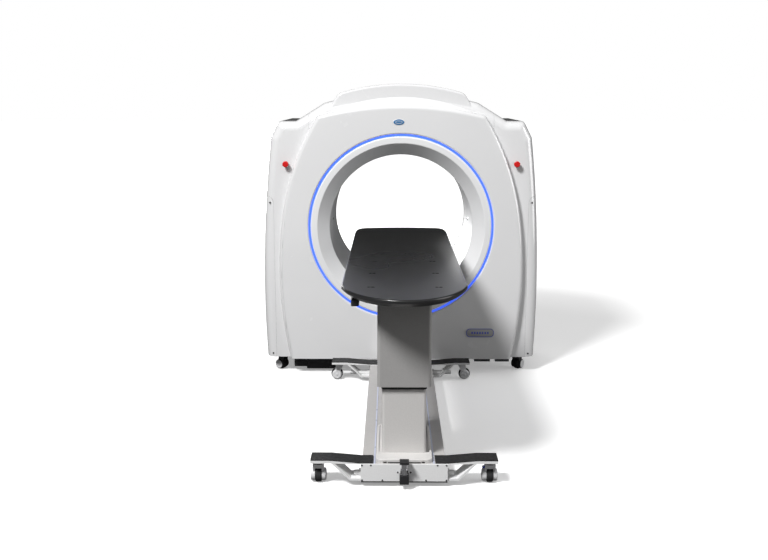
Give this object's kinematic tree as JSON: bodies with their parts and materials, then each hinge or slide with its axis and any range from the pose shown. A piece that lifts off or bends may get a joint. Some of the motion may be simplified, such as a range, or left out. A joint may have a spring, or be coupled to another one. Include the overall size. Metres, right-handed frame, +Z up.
{
  "type": "ct scanner",
  "caption": "Mobile large-bore CT scanner gantry on castors with a rolling, height-adjustable patient table and long dark tabletop.",
  "frame": {"origin": "middle of the footprint of gantry and table together, on the floor", "axes": "+X to the right seen from the table end, +Y from the table through the bore, +Z up"},
  "size_m": [1.8304, 2.994, 1.9249],
  "materials": {
    "cover_white": "satin white moulded plastic",
    "trim_grey": "satin light grey moulded plastic",
    "liner_grey": "satin light grey plastic",
    "light_blue": "lit blue diffuser",
    "frame_grey": "powder coated steel",
    "bearing_steel": "ground steel",
    "drum_grey": "machined aluminium",
    "pack_grey": "painted housing",
    "stop_red": "red moulded plastic",
    "black_plastic": "black moulded plastic",
    "castor_grey": "light grey castor fork",
    "tyre_black": "black polyurethane tread",
    "belt_black": "toothed rubber belt",
    "screw_steel": "steel screws",
    "base_grey": "warm grey powder coat",
    "column_grey": "warm grey powder coat",
    "arm_white": "white powder coat",
    "strip_lavender": "anodised guide strip",
    "pad_black": "black rubber tread pad",
    "carbon_black": "glossy carbon fibre laminate",
    "table_frame_dark": "dark anodised aluminium",
    "lock_steel": "plated steel"
  },
  "bodies": {
    "gantry": {"gantry_frame": "frame_grey", "bearing_ring": "bearing_steel", "front_cover": "cover_white", "rear_cover": "cover_white", "top_cover": "cover_white", "left_side_cover": "cover_white", "right_side_cover": "cover_white", "service_panels": "cover_white", "panel_screws": "screw_steel", "front_bore_trim": "trim_grey", "rear_bore_trim": "trim_grey", "light_ring": "light_blue", "bore_liner": "liner_grey", "electronics_cabinets": "pack_grey", "battery_box": "black_plastic", "drive_motor": "pack_grey", "drive_belt": "belt_black", "stop_collars": "black_plastic"},
    "rotor": {"rotor_drum": "drum_grey", "slip_ring": "black_plastic", "xray_tube": "pack_grey", "collimator": "drum_grey", "detector_array": "pack_grey", "tube_supply_packs": "pack_grey"},
    "motor_pulley": {"motor_pulley": "drum_grey"},
    "left_stop_button": {"left_stop_button": "stop_red"},
    "right_stop_button": {"right_stop_button": "stop_red"},
    "table_base": {"base_beam": "base_grey", "end_plates": "arm_white", "guide_strips": "strip_lavender", "linear_rails": "bearing_steel", "stabiliser_arms": "arm_white", "rubber_strips": "pad_black", "floor_lock_body": "lock_steel"},
    "floor_lock_foot": {"floor_lock_foot": "black_plastic"},
    "carriage": {"carriage": "column_grey", "column_tube": "column_grey", "glide_pads": "black_plastic", "lift_actuator": "lock_steel"},
    "lift": {"column_sleeve": "column_grey", "table_frame": "table_frame_dark", "tabletop": "carbon_black", "tabletop_fixings": "black_plastic", "hand_control": "black_plastic"},
    "gantry_front_left_castor": {"gantry_front_left_castor": "castor_grey"},
    "gantry_front_left_wheel": {"gantry_front_left_wheel": "tyre_black"},
    "gantry_front_right_castor": {"gantry_front_right_castor": "castor_grey"},
    "gantry_front_right_wheel": {"gantry_front_right_wheel": "tyre_black"},
    "gantry_rear_left_castor": {"gantry_rear_left_castor": "castor_grey"},
    "gantry_rear_left_wheel": {"gantry_rear_left_wheel": "tyre_black"},
    "gantry_rear_right_castor": {"gantry_rear_right_castor": "castor_grey"},
    "gantry_rear_right_wheel": {"gantry_rear_right_wheel": "tyre_black"},
    "table_front_left_castor": {"table_front_left_castor": "castor_grey"},
    "table_front_left_wheel": {"table_front_left_wheel": "tyre_black"},
    "table_front_right_castor": {"table_front_right_castor": "castor_grey"},
    "table_front_right_wheel": {"table_front_right_wheel": "tyre_black"},
    "table_rear_left_castor": {"table_rear_left_castor": "castor_grey"},
    "table_rear_left_wheel": {"table_rear_left_wheel": "tyre_black"},
    "table_rear_right_castor": {"table_rear_right_castor": "castor_grey"},
    "table_rear_right_wheel": {"table_rear_right_wheel": "tyre_black"}
  },
  "joints": [
    {"name": "rotor_spin", "type": "hinge", "parent": "gantry", "child": "rotor", "pos_m": [0, 0.972, 1], "axis": [0, 1, 0], "continuous": true},
    {"name": "motor_pulley_spin", "type": "hinge", "parent": "gantry", "child": "motor_pulley", "pos_m": [0.69, 0.972, 0.29], "axis": [0, 1, 0], "continuous": true},
    {"name": "left_stop_press", "type": "slide", "parent": "gantry", "child": "left_stop_button", "axis": [0, 1, 0], "range_m": [0, 0.005], "stiffness_N_per_m": 1500},
    {"name": "right_stop_press", "type": "slide", "parent": "gantry", "child": "right_stop_button", "axis": [0, 1, 0], "range_m": [0, 0.005], "stiffness_N_per_m": 1500},
    {"name": "table_roll", "type": "slide", "parent": "gantry", "child": "table_base", "axis": [0, -1, 0], "range_m": [0, 1]},
    {"name": "floor_lock_plunge", "type": "slide", "parent": "table_base", "child": "floor_lock_foot", "axis": [0, 0, -1], "range_m": [0, 0.03]},
    {"name": "column_travel", "type": "slide", "parent": "table_base", "child": "carriage", "axis": [0, 1, 0], "range_m": [0, 1.2]},
    {"name": "column_lift", "type": "slide", "parent": "carriage", "child": "lift", "axis": [0, 0, 1], "range_m": [-0.22, 0.05]},
    {"name": "gantry_front_left_swivel", "type": "hinge", "parent": "gantry", "child": "gantry_front_left_castor", "pos_m": [-0.797, 0.707, 0.09], "axis": [0, 0, 1], "continuous": true},
    {"name": "gantry_front_left_roll", "type": "hinge", "parent": "gantry_front_left_castor", "child": "gantry_front_left_wheel", "pos_m": [-0.81502, 0.71962, 0.0375], "axis": [0.5736, 0.8192, 0], "continuous": true},
    {"name": "gantry_front_right_swivel", "type": "hinge", "parent": "gantry", "child": "gantry_front_right_castor", "pos_m": [0.797, 0.707, 0.09], "axis": [0, 0, 1], "continuous": true},
    {"name": "gantry_front_right_roll", "type": "hinge", "parent": "gantry_front_right_castor", "child": "gantry_front_right_wheel", "pos_m": [0.80962, 0.72502, 0.0375], "axis": [0.8192, -0.5736, 0], "continuous": true},
    {"name": "gantry_rear_left_swivel", "type": "hinge", "parent": "gantry", "child": "gantry_rear_left_castor", "pos_m": [-0.797, 1.347, 0.09], "axis": [0, 0, 1], "continuous": true},
    {"name": "gantry_rear_left_roll", "type": "hinge", "parent": "gantry_rear_left_castor", "child": "gantry_rear_left_wheel", "pos_m": [-0.80452, 1.36767, 0.0375], "axis": [0.9397, 0.342, 0], "continuous": true},
    {"name": "gantry_rear_right_swivel", "type": "hinge", "parent": "gantry", "child": "gantry_rear_right_castor", "pos_m": [0.797, 1.347, 0.09], "axis": [0, 0, 1], "continuous": true},
    {"name": "gantry_rear_right_roll", "type": "hinge", "parent": "gantry_rear_right_castor", "child": "gantry_rear_right_wheel", "pos_m": [0.80452, 1.36767, 0.0375], "axis": [0.9397, -0.342, 0], "continuous": true},
    {"name": "table_front_left_swivel", "type": "hinge", "parent": "table_base", "child": "table_front_left_castor", "pos_m": [-0.417, -1.2755, 0.09], "axis": [0, 0, 1], "continuous": true},
    {"name": "table_front_left_roll", "type": "hinge", "parent": "table_front_left_castor", "child": "table_front_left_wheel", "pos_m": [-0.417, -1.2535, 0.0375], "axis": [1, 0, 0], "continuous": true},
    {"name": "table_front_right_swivel", "type": "hinge", "parent": "table_base", "child": "table_front_right_castor", "pos_m": [0.417, -1.2755, 0.09], "axis": [0, 0, 1], "continuous": true},
    {"name": "table_front_right_roll", "type": "hinge", "parent": "table_front_right_castor", "child": "table_front_right_wheel", "pos_m": [0.417, -1.2535, 0.0375], "axis": [1, 0, 0], "continuous": true},
    {"name": "table_rear_left_swivel", "type": "hinge", "parent": "table_base", "child": "table_rear_left_castor", "pos_m": [-0.4, 0.475, 0.09], "axis": [0, 0, 1], "continuous": true},
    {"name": "table_rear_left_roll", "type": "hinge", "parent": "table_rear_left_castor", "child": "table_rear_left_wheel", "pos_m": [-0.422, 0.475, 0.0375], "axis": [0, 1, 0], "continuous": true},
    {"name": "table_rear_right_swivel", "type": "hinge", "parent": "table_base", "child": "table_rear_right_castor", "pos_m": [0.4, 0.475, 0.09], "axis": [0, 0, 1], "continuous": true},
    {"name": "table_rear_right_roll", "type": "hinge", "parent": "table_rear_right_castor", "child": "table_rear_right_wheel", "pos_m": [0.422, 0.475, 0.0375], "axis": [0, -1, 0], "continuous": true}
  ],
  "couplings": [
    {"joint": "motor_pulley_spin", "follows": "rotor_spin", "ratio": 13.889}
  ]
}
